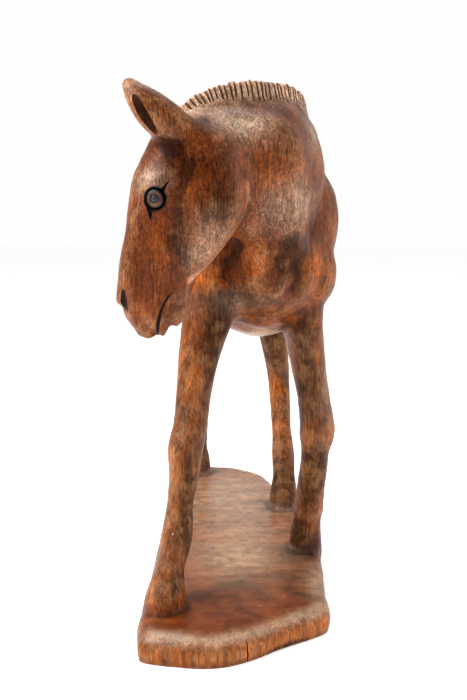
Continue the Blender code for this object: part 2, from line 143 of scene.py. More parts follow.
MANE = [
    (-20.0, -82.0, 213.6, 3.6), (-14.0, -79.5, 217.5, 4.9), (-6.0, -75.0, 219.7, 6.6),
    (4.0, -69.5, 220.3, 8.5), (13.0, -62.5, 220.5, 9.3), (22.0, -52.0, 220.8, 8.6),
    (28.5, -40.0, 219.0, 8.8), (30.3, -27.0, 213.5, 7.8), (26.0, -14.0, 206.0, 6.0),
    (19.0, -2.0, 197.0, 4.5), (13.5, 8.0, 189.5, 2.5),
]


# ---------------------------------------------------------------- curves and lofts

def curve_through(points, steps):
    """Catmull-Rom points through a table's rows, steps to a span, ends included."""
    rows = [Vector(p) for p in points]
    rows = [2 * rows[0] - rows[1], *rows, 2 * rows[-1] - rows[-2]]
    made = []
    for before, start, end, after in zip(rows, rows[1:], rows[2:], rows[3:]):
        for step in range(steps):
            t = step / steps
            made.append(
                0.5
                * (
                    2 * start
                    + (end - before) * t
                    + (2 * before - 5 * start + 4 * end - after) * t**2
                    + (3 * start - 3 * end + after - before) * t**3
                )
            )
    return [*made, rows[-2].copy()]


def ring(bm, centre, across, rise, sides, power=2.0):
    """Vertices of one oval section, in metres. A power over 2 squares the oval."""
    made = []
    for k in range(sides):
        angle = 2 * math.pi * k / sides
        wide = math.copysign(abs(math.cos(angle)) ** (2 / power), math.cos(angle))
        high = math.copysign(abs(math.sin(angle)) ** (2 / power), math.sin(angle))
        made.append(bm.verts.new((centre + across * wide + rise * high) * MM))
    return made


def skin_rings(bm, rings):
    """Side faces between neighbouring rings, and a face on each end."""
    sides = len(rings[0])
    for low, high in zip(rings, rings[1:]):
        for k in range(sides):
            bm.faces.new((low[k], low[(k + 1) % sides], high[(k + 1) % sides], high[k]))
    bm.faces.new(list(reversed(rings[0])))
    bm.faces.new(rings[-1])


def dome(section, way, share):
    """A smaller section beyond an end one, on the quarter circle that rounds the end off."""
    centre, along, across, rise = section
    reach = min(across.length, rise.length) * 0.6
    shrink = math.sqrt(1 - share**2)
    return centre + along * way * reach * share, across * shrink, rise * shrink


def add_loft(bm, stations, up, sides=48, steps=8, power=2.0):
    """A closed body of oval sections along the stations' centres, with domed ends."""
    centres = curve_through([s[:3] for s in stations], steps)
    sizes = curve_through([(s[3], s[4], 0.0) for s in stations], steps)
    rings = []
    count = len(centres)
    for k, (centre, size) in enumerate(zip(centres, sizes)):
        along = (centres[min(k + 1, count - 1)] - centres[max(k - 1, 0)]).normalized()
        across = along.cross(up).normalized()
        rise = across.cross(along)
        rings.append((centre, along, across * size.x, rise * size.y))
    first, last = rings[0], rings[-1]
    domed = [dome(first, -1, share) for share in (0.98, 0.9, 0.7, 0.4)]
    domed += [(c, a, r) for c, _, a, r in rings]
    domed += [dome(last, 1, share) for share in (0.4, 0.7, 0.9, 0.98)]
    skin_rings(bm, [ring(bm, c, a, r, sides, power) for c, a, r in domed])


def add_base(bm):
    """The base: the outline at several heights, drawn in towards its top and bottom edges."""
    outline = curve_through([(*p, 0.0) for p in [*BASE_OUTLINE, BASE_OUTLINE[0]]], 8)[:-1]
    levels = curve_through([(h, i, 0.0) for h, i in BASE_LEVELS], 4)
    rings = []
    for level in levels:
        made = []
        for k, point in enumerate(outline):
            along = outline[(k + 1) % len(outline)] - outline[k - 1]
            inward = UP.cross(along).normalized()
            made.append(bm.verts.new((point + inward * level.y + UP * level.x) * MM))
        rings.append(made)
    skin_rings(bm, rings)


def add_mass(bm, centre, radii):
    matrix = Matrix.Translation(Vector(centre) * MM) @ Matrix.Diagonal((*(Vector(radii) * MM), 1.0))
    bmesh.ops.create_icosphere(bm, subdivisions=4, radius=1.0, matrix=matrix)


def mane_line(steps):
    """Foot, top and sideways direction along the mane."""
    centres = curve_through([(x, y, z) for x, y, z, _ in MANE], steps)
    heights = curve_through([(h, 0.0, 0.0) for *_, h in MANE], steps)
    line = []
    for k, (centre, height) in enumerate(zip(centres, heights)):
        along = centres[min(k + 1, len(centres) - 1)] - centres[max(k - 1, 0)]
        across = along.cross(UP).normalized()
        line.append((centre, centre + UP * height.x, across, along.normalized()))
    return line


def mane_crest():
    return [top for _, top, _, _ in mane_line(2)]


def add_mane(bm):
    """A fin along the neck's crest, thinner and rounded at its upper edge."""
    rings = []
    for centre, top, across, _ in mane_line(10):
        side = across * MANE_HALF_THICKNESS
        foot = centre - UP * 7.0
        corners = [
            foot + side * 3.2, centre - UP * 2.5 + side * 1.9, centre + side * 1.3,
            centre.lerp(top, 0.8) + side * 0.8, top + side * 0.4, top - side * 0.4,
            centre.lerp(top, 0.8) - side * 0.8, centre - side * 1.3, centre - UP * 2.5 - side * 1.9,
            foot - side * 3.2,
        ]
        rings.append([bm.verts.new(c * MM) for c in corners])
    skin_rings(bm, rings)


# ---------------------------------------------------------------- objects

def new_object(name, build):
    """An object whose mesh the function build fills in a bmesh."""
    mesh = bpy.data.meshes.new(name)
    bm = bmesh.new()
    build(bm)
    bmesh.ops.recalc_face_normals(bm, faces=bm.faces)
    bm.to_mesh(mesh)
    bm.free()
    obj = bpy.data.objects.new(name, mesh)
    bpy.context.scene.collection.objects.link(obj)
    return obj


def remove_object(obj):
    mesh = obj.data
    bpy.data.objects.remove(obj, do_unlink=True)
    if mesh.users == 0:
        bpy.data.meshes.remove(mesh)


def freeze(obj):
    """Applies an object's modifiers."""
    bpy.context.view_layer.update()
    made = bpy.data.meshes.new_from_object(obj.evaluated_get(bpy.context.evaluated_depsgraph_get()))
    old = obj.data
    obj.modifiers.clear()
    obj.data = made
    bpy.data.meshes.remove(old)


def cut(target, name, build, slot):
    """Cuts the target with a shape, and gives the cut faces the target's material slot of that number."""
    tool = new_object(name, build)
    for index in range(slot + 1):
        tool.data.materials.append(target.data.materials[index])
    for face in tool.data.polygons:
        face.material_index = slot
    modifier = target.modifiers.new(name, "BOOLEAN")
    modifier.operation = "DIFFERENCE"
    modifier.solver = "EXACT"
    modifier.object = tool
    freeze(target)
    remove_object(tool)


# ---------------------------------------------------------------- the carved skin

class Skin:
    """A mesh's points in millimetres, for smoothing and pushing about. Changes reach the mesh by store()."""

    def __init__(self, mesh):
        self.mesh = mesh
        self.count = len(mesh.vertices)
        co = np.empty(self.count * 3)
        mesh.vertices.foreach_get("co", co)
        self.co = co.reshape(-1, 3) * 1000
        edges = np.empty(len(mesh.edges) * 2, dtype=np.int32)
        mesh.edges.foreach_get("vertices", edges)
        self.a, self.b = edges.reshape(-1, 2).T
        self.degree = np.bincount(np.concatenate((self.a, self.b)), minlength=self.count)

    def store(self):
        self.mesh.vertices.foreach_set("co", (self.co / 1000).ravel())
        self.mesh.update()

    def normals(self):
        self.store()
        found = np.empty(self.count * 3)
        self.mesh.vertex_normals.foreach_get("vector", found)
        return found.reshape(-1, 3)

    def mean(self, values):
        """The mean over each point's neighbours."""
        columns = []
        for column in values.reshape(self.count, -1).T:
            from_b = np.bincount(self.a, column[self.b], self.count)
            from_a = np.bincount(self.b, column[self.a], self.count)
            columns.append(from_b + from_a)
        return np.stack(columns, axis=1) / self.degree[:, None]

    def smooth(self, passes, weight=1.0):
        """Plain smoothing, by a weight a point."""
        weight = np.asarray(weight, float).reshape(-1, 1)
        for _ in range(passes):
            self.co += (self.mean(self.co) - self.co) * 0.5 * weight

    def polish(self, passes):
        """Smoothing that doesn't shrink."""
        for _ in range(passes):
            self.co += (self.mean(self.co) - self.co) * 0.5
            self.co -= (self.mean(self.co) - self.co) * 0.53

    def fill(self, passes, weight):
        """Fills hollow corners into fillets, and leaves what stands out alone."""
        normal = self.normals()
        for k in range(passes):
            if k % 6 == 5:
                normal = self.normals()
            rise = ((self.mean(self.co) - self.co) * normal).sum(axis=1)
            self.co += normal * (np.maximum(rise, 0.0) * 0.7 * weight)[:, None]

    def near(self, centre, radii):
        """1 at a centre, falling to 0 past the radii."""
        away = (((self.co - centre) / radii) ** 2).sum(axis=1)
        return np.exp(-away * 1.5)

    def along_path(self, path, width):
        """1 on a polyline, falling to 0 past the width."""
        best = np.full(self.count, 1e9)
        for start, end in zip(path, path[1:]):
            start, end = np.array(start, float), np.array(end, float)
            span = end - start
            t = np.clip(((self.co - start) @ span) / (span @ span), 0, 1)
            best = np.minimum(best, ((self.co - start - t[:, None] * span) ** 2).sum(axis=1))
        return np.exp(-best / width**2)

    def push(self, amount):
        """Moves each point out along its normal, in millimetres."""
        self.co += self.normals() * np.asarray(amount)[:, None]

    def wobble(self, size, amount, seed):
        """Low bumps of a size, as hand tools leave."""
        shift = Vector((seed * 7.3, seed * 3.1, seed * 5.7))
        values = np.array([noise.noise(Vector(p) / size + shift) for p in self.co])
        self.push(values * amount)


def add_block(bm):
    add_base(bm)
    add_loft(bm, TORSO, UP, sides=72)
    add_loft(bm, NECK, UP, sides=64)
    add_loft(bm, THROAT, Vector((0, -1, 0)), sides=56)
    add_loft(bm, HEAD, Vector((-1, 0, 0)), sides=64, power=2.5)
    for leg in (FRONT_RIGHT_LEG, FRONT_LEFT_LEG, HIND_LEFT_LEG, HIND_RIGHT_LEG):
        add_loft(bm, leg, Vector((0, -1, 0)), sides=40)
    add_loft(bm, TAIL, Vector((0, 1, 0)), sides=32)
    for ear in (NEAR_EAR, FAR_EAR):
        add_loft(bm, ear, Vector((-1, 0, -1)), sides=40)
    for centre, radii in MASSES:
        add_mass(bm, centre, radii)
    add_mane(bm)


# Fillets: (x, y, z) centre, radii and strength
FILLETS = [
    ((3, -40, 150), (46, 34, 34), 1.0),  # chest, shoulders and the tops of the front legs
    ((4, 80, 150), (40, 44, 40), 1.0),  # rump and the tops of the hind legs
    ((8, -40, 190), (30, 34, 22), 0.8),  # neck into shoulders
    ((12, 5, 180), (26, 28, 22), 1.0),  # withers
    ((-2, -84, 202), (16, 20, 15), 1.0),  # head into neck
    ((-20, -84, 205), (12, 18, 8), 0.5),  # roots of the ears
    ((10, -66, 214), (26, 22, 6), 0.9),  # mane into neck
    ((24, -30, 208), (12, 26, 12), 0.9),
    ((22, -64, 198), (16, 16, 20), 1.0),  # behind the poll
    ((12, -66, 166), (16, 14, 16), 0.9),  # neck into chest
    ((4, 112, 160), (14, 12, 30), 0.9),  # tail
]
# Smoothed further, where the poll and the mane's front meet the neck: centre and radii
CALMED = [((3, -86, 198), (17, 14, 13)), ((23, -66, 199), (14, 14, 16))]
# Along this line the jaw's edge stays crisp
JAW = [(9, -92, 189), (5, -92, 178), (-1, -92, 166), (-10, -92, 155), (-17, -92, 147), (-18, -92, 138)]
# Middles of the hooves, in the order front right, front left, hind left, hind right
HOOVES = [(-29.4, -83.2), (35.6, -20.5), (28.0, 36.5), (-21.5, 98.0)]


def store_mask(obj, name, values):
    obj.data.attributes.new(name, "FLOAT", "POINT").data.foreach_set("value", values)


def build_skin():
    """The figure in one skin, filleted and carved, with its hollows stored as an attribute."""
    carving = new_object("carved_foal", add_block)
    remesh = carving.modifiers.new("block", "REMESH")
    remesh.mode = "VOXEL"
    remesh.voxel_size = VOXEL * MM
    freeze(carving)
    skin = Skin(carving.data)
    skin.smooth(4)
    weight = sum(skin.near(c, r) * s for c, r, s in FILLETS)
    weight = np.clip(weight * 1.6, 0.0, 1.0) * (1 - skin.along_path(JAW, 7.0))
    weight = np.clip(weight, 0.03, 1.0)
    passes = 90
    skin.fill(passes, weight)
    for centre, radii in CALMED:
        skin.smooth(passes, np.clip(skin.near(centre, radii) * 1.6, 0, 1))
    skin.polish(14)
    sculpt(skin)
    keep_inside(skin)
    skin.store()
    store_mask(carving, "hollow", hollow_share(skin))
    return carving


# Ridges and grooves: path, width and height
RIDGES = [
    ([(6, -76, 172), (12, -69, 163), (12, -68, 155), (9, -66, 147)], 4.5, 1.3),  # front of the neck
    ([(22, -67, 167), (25, -64, 159), (28, -61, 152), (26, -60, 145)], 4.0, -1.5),  # before the shoulder
    ([(1, -64, 162), (-2, -62, 157), (-4, -61, 150)], 3.5, -1.5),
    ([(34, -58, 165), (38, -52, 155), (36, -54, 146)], 5.0, 0.8),
    ([(-7, -62, 152), (-8, -60, 143)], 4.5, 0.8),
    ([(-24, -99, 192), (-28, -98, 190), (-32, -96.5, 187.5)], 2.2, 0.55),  # brow
    ([(-36, -96, 178), (-38, -96, 165), (-40, -95, 152)], 3.0, 0.4),  # edge of the face
    ([(-15, -99.5, 172), (-20, -99, 160), (-24, -98.5, 152)], 4.0, -0.5),  # cheek hollow
    ([(-38.5, -96.5, 148), (-38.7, -96.5, 142), (-40, -95, 136)], 1.6, 0.55),  # wing of the nostril
    ([(14, 30, 186), (11, 60, 184), (5, 90, 184)], 8.0, 0.8),  # backbone
    ([(35, 60, 160), (32, 74, 150), (29, 84, 140)], 6.0, -0.8),  # flank
    ([(-25, 60, 160), (-22, 74, 150), (-20, 86, 140)], 6.0, -0.8),
]


# The narrowing above each hoof: (x, y, z) of the ankle, and how far round it the groove reaches
FETLOCKS = [(-27.2, -81.0, 26.5), (36.3, -22.5, 28.0), (28.6, 45.0, 27.5), (-22.5, 100.0, 27.0)]
FETLOCK_REACH = 12.0


# Places moved a little: (x, y, z) centre, radii and the way they move
MOVES = [
    ((-40.5, -94, 134.5), (6, 12, 6), (1.9, 0, 0.8)),  # below the nostrils
    ((-21.5, -94, 131.5), (6, 12, 6), (0, 0, 2.6)),  # back of the chin
    ((-27.1, -94, 131), (2.6, 12, 3), (0, 0, -1.4)),  # lower lip
    ((-19, -82, 217), (8, 8, 6), (0, 0, 1.2)),  # start of the mane
    ((39, -62, 188), (8, 20, 10), (0.9, 0, 0.3)),  # back of the neck
]


# Tool marks over the whole figure: size and height
WOBBLES = [(14.0, 0.42), (5.0, 0.16), (2.2, 0.05)]


def sculpt(skin):
    """Moves, ridges, ankles, an uneven mane crest and tool marks."""
    for centre, radii, step in MOVES:
        skin.co += skin.near(centre, radii)[:, None] * np.array(step)
    for path, width, height in RIDGES:
        skin.push(skin.along_path(path, width) * height)
    for x, y, z in FETLOCKS:
        away = np.hypot(skin.co[:, 0] - x, skin.co[:, 1] - y)
        skin.push(np.exp(-((skin.co[:, 2] - z) / 3.0) ** 2) * (away < FETLOCK_REACH) * -0.35)
    crest = skin.along_path(mane_crest(), 3.0)
    uneven = [noise.noise(Vector((x / 2.6, y / 2.6, 4.0))) for x, y, _ in skin.co]
    skin.co[:, 2] -= crest * (0.15 + 1.2 * np.array(uneven))
    for seed, (size, amount) in enumerate(WOBBLES, start=1):
        skin.wobble(size, amount, seed)


BOX_MARGIN = 0.02
FOOT_HEIGHT = 0.6  # below it the skin is laid flat on the ground


def keep_inside(skin):
    """Holds the skin in the CAD piece's own box, with a flat underside."""
    low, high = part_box("carving")
    low, high = np.array(low) * 1000, np.array(high) * 1000
    skin.co = np.clip(skin.co, low + BOX_MARGIN, high - BOX_MARGIN)
    skin.co[skin.co[:, 2] < FOOT_HEIGHT, 2] = low[2]


def hollow_share(skin):
    """How deep each point lies below a smoothed surface, -1 to 1: small corners and wide valleys together."""
    normal = skin.normals()
    kept = skin.co.copy()
    total = np.zeros(skin.count)
    for passes, scale in ((10, 0.16), (60, 0.7)):
        skin.smooth(passes)
        total += np.clip(((skin.co - kept) * normal).sum(axis=1) / scale, -1, 1) * 0.5
    skin.co = kept
    skin.store()
    for x, y in HOOVES:
        total *= 1 - 0.75 * skin.near((x, y, 12), (18, 18, 6))
    return total


# ---------------------------------------------------------------- cuts

def wedge(bm, top, foot, along, across, mouth, tip, reach):
    """A thin tapering blade from top to foot, reach to each side. Its half widths are mouth and tip."""
    loop = [top - along * mouth, top + along * mouth, foot + along * tip, foot - along * tip]
    sides = (-across * reach, across * reach)
    skin_rings(bm, [[bm.verts.new((point + side) * MM) for point in loop] for side in sides])


KERF_PITCH = 2.35
KERF_REACH = 4  # to each side of the mane's middle
KERF_MOUTH = (0.62, 0.8)  # half widths at the crest, least and most
KERF_TIP = 0.36  # half width at the foot
KERF_ROOM = 0.15  # least wood between two cuts
KERF_LEAST = 0.12  # a cut that would be narrower is left out


def add_kerfs(bm):
    """Saw cuts across the mane, a little uneven as by hand, with wood left between any two of them."""
    rng = random.Random(SEED)
    line = mane_line(24)
    run, next_cut = 0.0, 1.6
    before = None
    for low, high in zip(line, line[1:]):
        run += (high[1] - low[1]).length
        if run < next_cut:
            continue
        next_cut += KERF_PITCH * rng.uniform(0.9, 1.1)
        centre, top, across, along = high
        lift = across.cross(along)
        lean = along * rng.uniform(-0.5, 0.5)
        deep = top - lift * ((top - centre).length * rng.uniform(0.75, 1.0)) + lean
        top = top + lift * 1.2
        mouth, tip = rng.uniform(*KERF_MOUTH), KERF_TIP
        sides = (-across * KERF_REACH, across * KERF_REACH)
        if before:
            last_top, last_deep, last_mouth, last_tip, last_sides = before
            pairs = list(zip(sides, last_sides))
            room = [
                min((end + side - last_end - last_side).dot(along) for side, last_side in pairs)
                for end, last_end in ((top, last_top), (deep, last_deep))
            ]
            mouth = min(mouth, room[0] - last_mouth - KERF_ROOM)
            tip = min(tip, room[1] - last_tip - KERF_ROOM)
            if min(mouth, tip) < KERF_LEAST:
                continue
        before = (top, deep, mouth, tip, sides)
        wedge(bm, top, deep, along, across, mouth, tip, KERF_REACH)


MOUTH = [
    (-30.4, 124.0, 1.4, 1.0), (-29.6, 130.5, 2.6, 1.05), (-28.9, 135.2, 5.6, 1.0), (-27.8, 139.8, 7.2, 0.9),
    (-26.2, 143.6, 7.9, 0.75), (-24.5, 146.2, 8.4, 0.55), (-22.6, 147.8, 9.4, 0.15),
]  # (x, z) along the cut, how far from the head's middle it stops, and its half width


def add_mouth(bm):
    """A cut up each side of the muzzle."""
    curve = curve_through([(x, 0, z) for x, z, _, _ in MOUTH], 6)
    sizes = curve_through([(inner, half, 0) for _, _, inner, half in MOUTH], 6)
    for side in (-1, 1):
        rings = []
        for k, (point, size) in enumerate(zip(curve, sizes)):
            step = curve[min(k + 1, len(curve) - 1)] - curve[max(k - 1, 0)]
            normal = Vector((-step.z, 0, step.x)).normalized() * size.y
            inner = Vector((point.x, HEAD_MIDDLE_Y + side * size.x, point.z))
            outer = Vector((point.x, HEAD_MIDDLE_Y + side * 14.0, point.z))
            corners = (inner - normal * 0.3, outer - normal * 1.3, outer + normal * 1.3, inner + normal * 0.3)
            rings.append([bm.verts.new(c * MM) for c in corners])
        skin_rings(bm, rings)


def add_ellipsoid(bm, centre, radii, turn):
    size = Matrix.Diagonal((*(Vector(radii) * MM), 1.0))
    place = Matrix.Translation(Vector(centre) * MM) @ turn @ size
    bmesh.ops.create_icosphere(bm, subdivisions=4, radius=1.0, matrix=place)


NOSTRIL = ((-42.1, 7.5, 143.2), (2.0, 1.5, 5.3))  # place, as (x, from the head's middle, z), and radii
NOSTRIL_TURN = 38.0  # degrees


def add_nostrils(bm):
    (x, away, z), radii = NOSTRIL
    for side in (-1, 1):
        turn = Matrix.Rotation(math.radians(-NOSTRIL_TURN) * side, 4, "Z")
        add_ellipsoid(bm, (x, HEAD_MIDDLE_Y + side * away, z), radii, turn)


# A point in each ear's hollow, and the way the hollow opens
EARS = [((-29.9, -94.4, 214.3), (-0.45, -0.80, -0.30)), ((-28.4, -74.2, 214.2), (-0.45, 0.80, -0.30))]


EAR_HOLLOW_RADII = (8.6, 2.0, 5.7)  # along the ear, across it, and in depth


def add_ear_hollows(bm):
    for point, direction in EARS:
        depth = Vector(direction).normalized()
        along = Vector((-0.45, 0, 0.89))
        along = (along - depth * along.dot(depth)).normalized()
        turn = Matrix((along, depth.cross(along), depth)).transposed().to_4x4()
        add_ellipsoid(bm, Vector(point) + depth * 6.0, EAR_HOLLOW_RADII, turn)


# The middle of each eye, left and right, and the way it looks
EYES = [((-29.2, -98.6, 182.5), (-0.28, -1.0, 0.0)), ((-29.2, -73.0, 182.5), (-0.28, 1.0, 0.0))]


def facing(point, direction):
    """The matrix, in metres, that puts local +Z along a direction at a point in millimetres."""
    turn = Vector(direction).normalized().to_track_quat("Z", "Y").to_matrix().to_4x4()
    return Matrix.Translation(Vector(point) * MM) @ turn


def add_turned(bm, profile, matrix, sides=64):
    """A solid turned about the matrix's +Z from (radius, height) points in millimetres."""
    rings = []
    for radius, height in profile:
        angles = [2 * math.pi * k / sides for k in range(sides)]
        around = [Vector((radius * math.cos(a), radius * math.sin(a), height)) * MM for a in angles]
        rings.append([bm.verts.new(matrix @ point) for point in around])
    skin_rings(bm, rings)


EYE_SEAT = [(3.8, -4.3), (3.8, -1.2), (4.3, -0.2), (4.45, 4.0)]  # radius and height up the bore


def add_eye_seats(bm):
    """Bores round the eye plugs."""
    for point, direction in EYES:
        add_turned(bm, EYE_SEAT, facing(point, direction))


# The cut that points up behind the eye, and the tear duct below it: (x, z) of root and tip, and half width
EYE_CORNERS = [((-27.4, 184.2), (-23.4, 189.8), 1.3), ((-31.2, 180.2), (-31.0, 173.8), 1.9)]


def add_eye_corners(bm):
    for _, direction in EYES:
        side = math.copysign(1.0, direction[1])
        for root, tip, half in EYE_CORNERS:
            root, tip = Vector((root[0], 0, root[1])), Vector((tip[0], 0, tip[1]))
            across = (tip - root).normalized().cross(Vector((0, 1, 0)))
            deep = Vector((0, EYE_MIDDLE_Y + side * 10.8, 0))
            far = Vector((0, EYE_MIDDLE_Y + side * 15.5, 0))
            plan = [root - across * half, root + across * half, tip + across * 0.1, tip - across * 0.1]
            inner = [bm.verts.new(((root + tip) / 2 * 0.5 + p * 0.5 + deep) * MM) for p in plan]
            outer = [bm.verts.new((p + far) * MM) for p in plan]
            skin_rings(bm, [inner, outer])


CHECK_PLACE = (5.2, -107.0)
# Its course up the base: how far it strays along the base's edge, height and half width
CHECK_COURSE = [(0.0, -1.0, 0.30), (0.15, 3.0, 0.34), (-0.1, 6.0, 0.28), (0.25, 8.6, 0.18), (0.1, 10.6, 0.06)]


def add_check(bm):
    """The drying check in the front of the base."""
    out = Vector((0.49, -0.87, 0.0))
    along = Vector((0.87, 0.49, 0.0))
    rings = []
    for stray, z, half in CHECK_COURSE:
        middle = Vector((*CHECK_PLACE, z)) + along * stray
        inner, outer = middle - out * 4.0, middle + out * 4.0
        corners = (
            inner - along * 0.05, inner + along * 0.05,
            outer + along * half * 1.6, outer - along * half * 1.6,
        )
        rings.append([bm.verts.new(c * MM) for c in corners])
    skin_rings(bm, rings)


# ---------------------------------------------------------------- materials

class Nodes:
    """Short hands for building a material's nodes."""

    def __init__(self, name):
        self.material = bpy.data.materials.new(name)
        self.material.use_nodes = True
        self.tree = self.material.node_tree
        self.shader = self.tree.nodes["Principled BSDF"]
        self.position = self.tree.nodes.new("ShaderNodeTexCoord").outputs["Object"]

    def node(self, kind, inputs=(), **settings):
        made = self.tree.nodes.new(kind)
        for key, value in settings.items():
            setattr(made, key, value)
        for key, value in dict(inputs).items():
            self.plug(value, made.inputs[key])
        return made

    def plug(self, value, socket):
        if isinstance(value, bpy.types.NodeSocket):
            self.tree.links.new(value, socket)
        else:
            socket.default_value = value

    def scaled(self, x, y, z, shift=0.0):
        """The position with its axes scaled. A small factor draws the pattern out along its axis."""
        inputs = {"Vector": self.position, "Scale": (x, y, z), "Location": (shift, shift * 0.7, shift * 1.3)}
        return self.node("ShaderNodeMapping", inputs).outputs["Vector"]

    def noise(self, where, scale, detail=3.0, rough=0.55, bend=0.0):
        inputs = {"Vector": where, "Scale": scale, "Detail": detail, "Roughness": rough, "Distortion": bend}
        return self.node("ShaderNodeTexNoise", inputs).outputs["Fac"]

    def spots(self, where, scale):
        """The distance to the nearest of many scattered points."""
        return self.node("ShaderNodeTexVoronoi", {"Vector": where, "Scale": scale}).outputs["Distance"]

    def span(self, value, low, high, out_low=0.0, out_high=1.0):
        inputs = {"Value": value, "From Min": low, "From Max": high, "To Min": out_low, "To Max": out_high}
        return self.node("ShaderNodeMapRange", inputs, interpolation_type="SMOOTHSTEP").outputs["Result"]

    def math(self, operation, a, b):
        return self.node("ShaderNodeMath", {0: a, 1: b}, operation=operation).outputs[0]

    def times(self, a, b):
        return self.math("MULTIPLY", a, b)

    def grey(self, red, green, blue):
        """Three factors as a colour."""
        return self.node("ShaderNodeCombineXYZ", {"X": red, "Y": green, "Z": blue}).outputs[0]

    def mix(self, share, a, b, how="MIX"):
        made = self.node("ShaderNodeMix", data_type="RGBA", blend_type=how, clamp_factor=True)
        self.plug(share, made.inputs["Factor"])
        self.plug(a, made.inputs["A"])
        self.plug(b, made.inputs["B"])
        return made.outputs["Result"]

    def mask(self, name):
        return self.node("ShaderNodeAttribute", attribute_name=name).outputs["Fac"]

    def bump(self, height, strength, distance, normal=None):
        inputs = {"Height": height, "Strength": strength, "Distance": distance}
        if normal is not None:
            inputs["Normal"] = normal
        return self.node("ShaderNodeBump", inputs).outputs["Normal"]

    def finish(self, **sockets):
        for key, value in sockets.items():
            self.plug(value, self.shader.inputs[key.replace("_", " ")])
        return self.material


def rgb(red, green, blue):
    """A colour given as the eye's 0 to 255 values."""
    return (*((v / 255) ** 2.2 for v in (red, green, blue)), 1.0)


def base_grain(n):
    """Light and dark bands that run across the top of the base."""
    wide = n.noise(n.scaled(0.3, 1, 1, 11.0), 42.0, 2.0, 0.5, 2.2)
    fine = n.noise(n.scaled(0.06, 1, 1, 13.0), 420.0, 3.0, 0.6, 0.4)
    tone = n.times(n.span(wide, 0.3, 0.7, 0.84, 1.16), n.span(fine, 0.3, 0.7, 0.92, 1.08))
    return n.grey(n.times(tone, 1.04), tone, tone)


def heartwood(n):
    """The bare wood: bands, orange places with painted light on lit sides, dark streaks and the bars on the
    legs.
    """
    band = n.noise(n.scaled(1, 1, 0.22, 7.0), 85.0, 3.0, 0.55, 0.6)
    streak = n.noise(n.scaled(1, 1, 0.09, 3.0), 330.0, 3.0, 0.6, 0.3)
    board = n.noise(n.scaled(1, 1, 0.11, 12.0), 210.0, 3.0, 0.6, 0.4)
    colour = n.mix(n.span(band, 0.36, 0.64), rgb(140, 72, 30), rgb(104, 50, 22))
    # Orange wood, and painted light on the lit sides of the legs, the shoulders, the chest's bulges and the
    # jaw's edge
    orange = n.times(n.mask("orange_and_lit"), n.span(streak, 0.3, 0.6, 0.5, 1.0))
    colour = n.mix(orange, colour, rgb(208, 108, 32))
    lines = n.times(n.span(streak, 0.45, 0.72, 0.0, 0.6), n.span(n.mask("flat"), 0.0, 1.0, 1.0, 0.2))
    colour = n.mix(lines, colour, rgb(72, 35, 17))
    bars = n.times(n.span(board, 0.46, 0.62), n.mask("bars"))
    return n.mix(bars, colour, rgb(62, 30, 15))


def stain_wear_and_painted_light(n, colour, mottle):
    """Stain left in patches and hollows, with painted shade among it, and pale wood where hands have rubbed
    it off, with painted highlights and reflections among it.
    """
    blotch = n.noise(n.scaled(1, 1, 0.75, 5.0), 60.0, 4.0, 0.62, 0.8)
    hollow = n.mask("hollow")
    # Dark stain in patches, and painted shade at the ear roots, in and under the chest and on the legs'
    # shaded sides
    patches = n.span(n.math("ADD", blotch, n.times(n.mask("stain_and_shade"), 0.45)), 0.56, 0.76)
    colour = n.mix(n.times(patches, 0.85), colour, rgb(50, 24, 9))
    # Pale rubbed wood, and painted highlights and reflections on the forehead, poll, neck, belly, base top
    # and the base's front edge
    rubbed_and_lit = n.times(n.mask("wear_and_highlight"), n.span(mottle, 0.35, 0.62, 0.6, 1.0))
    colour = n.mix(rubbed_and_lit, colour, n.mix(n.mask("flat"), rgb(210, 174, 147), rgb(200, 164, 130)))
    colour = n.mix(n.times(n.mask("teeth"), 0.9), colour, rgb(238, 192, 154))
    # Darker in the hollows: stain gathered there, and painted shade
    colour = n.mix(n.times(n.span(hollow, 0.12, 0.9), 0.75), colour, rgb(44, 22, 10))
    high = n.times(n.span(hollow, -0.25, -0.9), n.span(mottle, 0.4, 0.6, 0.12, 0.38))
    return n.mix(high, colour, rgb(190, 136, 92))


def toned(n, colour, fibre):
    """Light and dark from fibres, grit and broad clouds, and from the grain on the base's flat top."""
    flat = n.mask("flat")
    grit = n.noise(n.scaled(1, 1, 0.45, 1.0), 1500.0, 3.0, 0.7)
    broad = n.noise(n.scaled(1, 1, 0.4, 15.0), 130.0, 3.0, 0.6)
    gritty = n.math("ADD", 1.0, n.times(n.span(grit, 0.30, 0.70, -0.5, 0.5), n.mask("coarse")))
    tone = n.times(n.span(fibre, 0.30, 0.70, 0.6, 1.4), gritty)
    tone = n.times(tone, n.span(broad, 0.35, 0.65, 0.78, 1.26))
    share = n.math("SUBTRACT", 1.0, n.times(flat, 0.65))
    colour = n.mix(share, colour, n.grey(tone, tone, tone), "MULTIPLY")
    return n.mix(flat, colour, n.mix(1.0, colour, base_grain(n), "MULTIPLY"))


def wood_pores(n):
    """Open pores, in groups, long with the grain."""
    pores = n.spots(n.scaled(1, 1, 0.13, 2.0), 1100.0)
    chance = n.noise(n.scaled(1, 1, 0.3, 4.0), 240.0, 1.0)
    pore = n.times(n.span(pores, 0.30, 0.14), n.span(chance, 0.42, 0.56))
    return n.times(pore, n.span(n.mask("flat"), 0.0, 1.0, 1.0, 0.15))


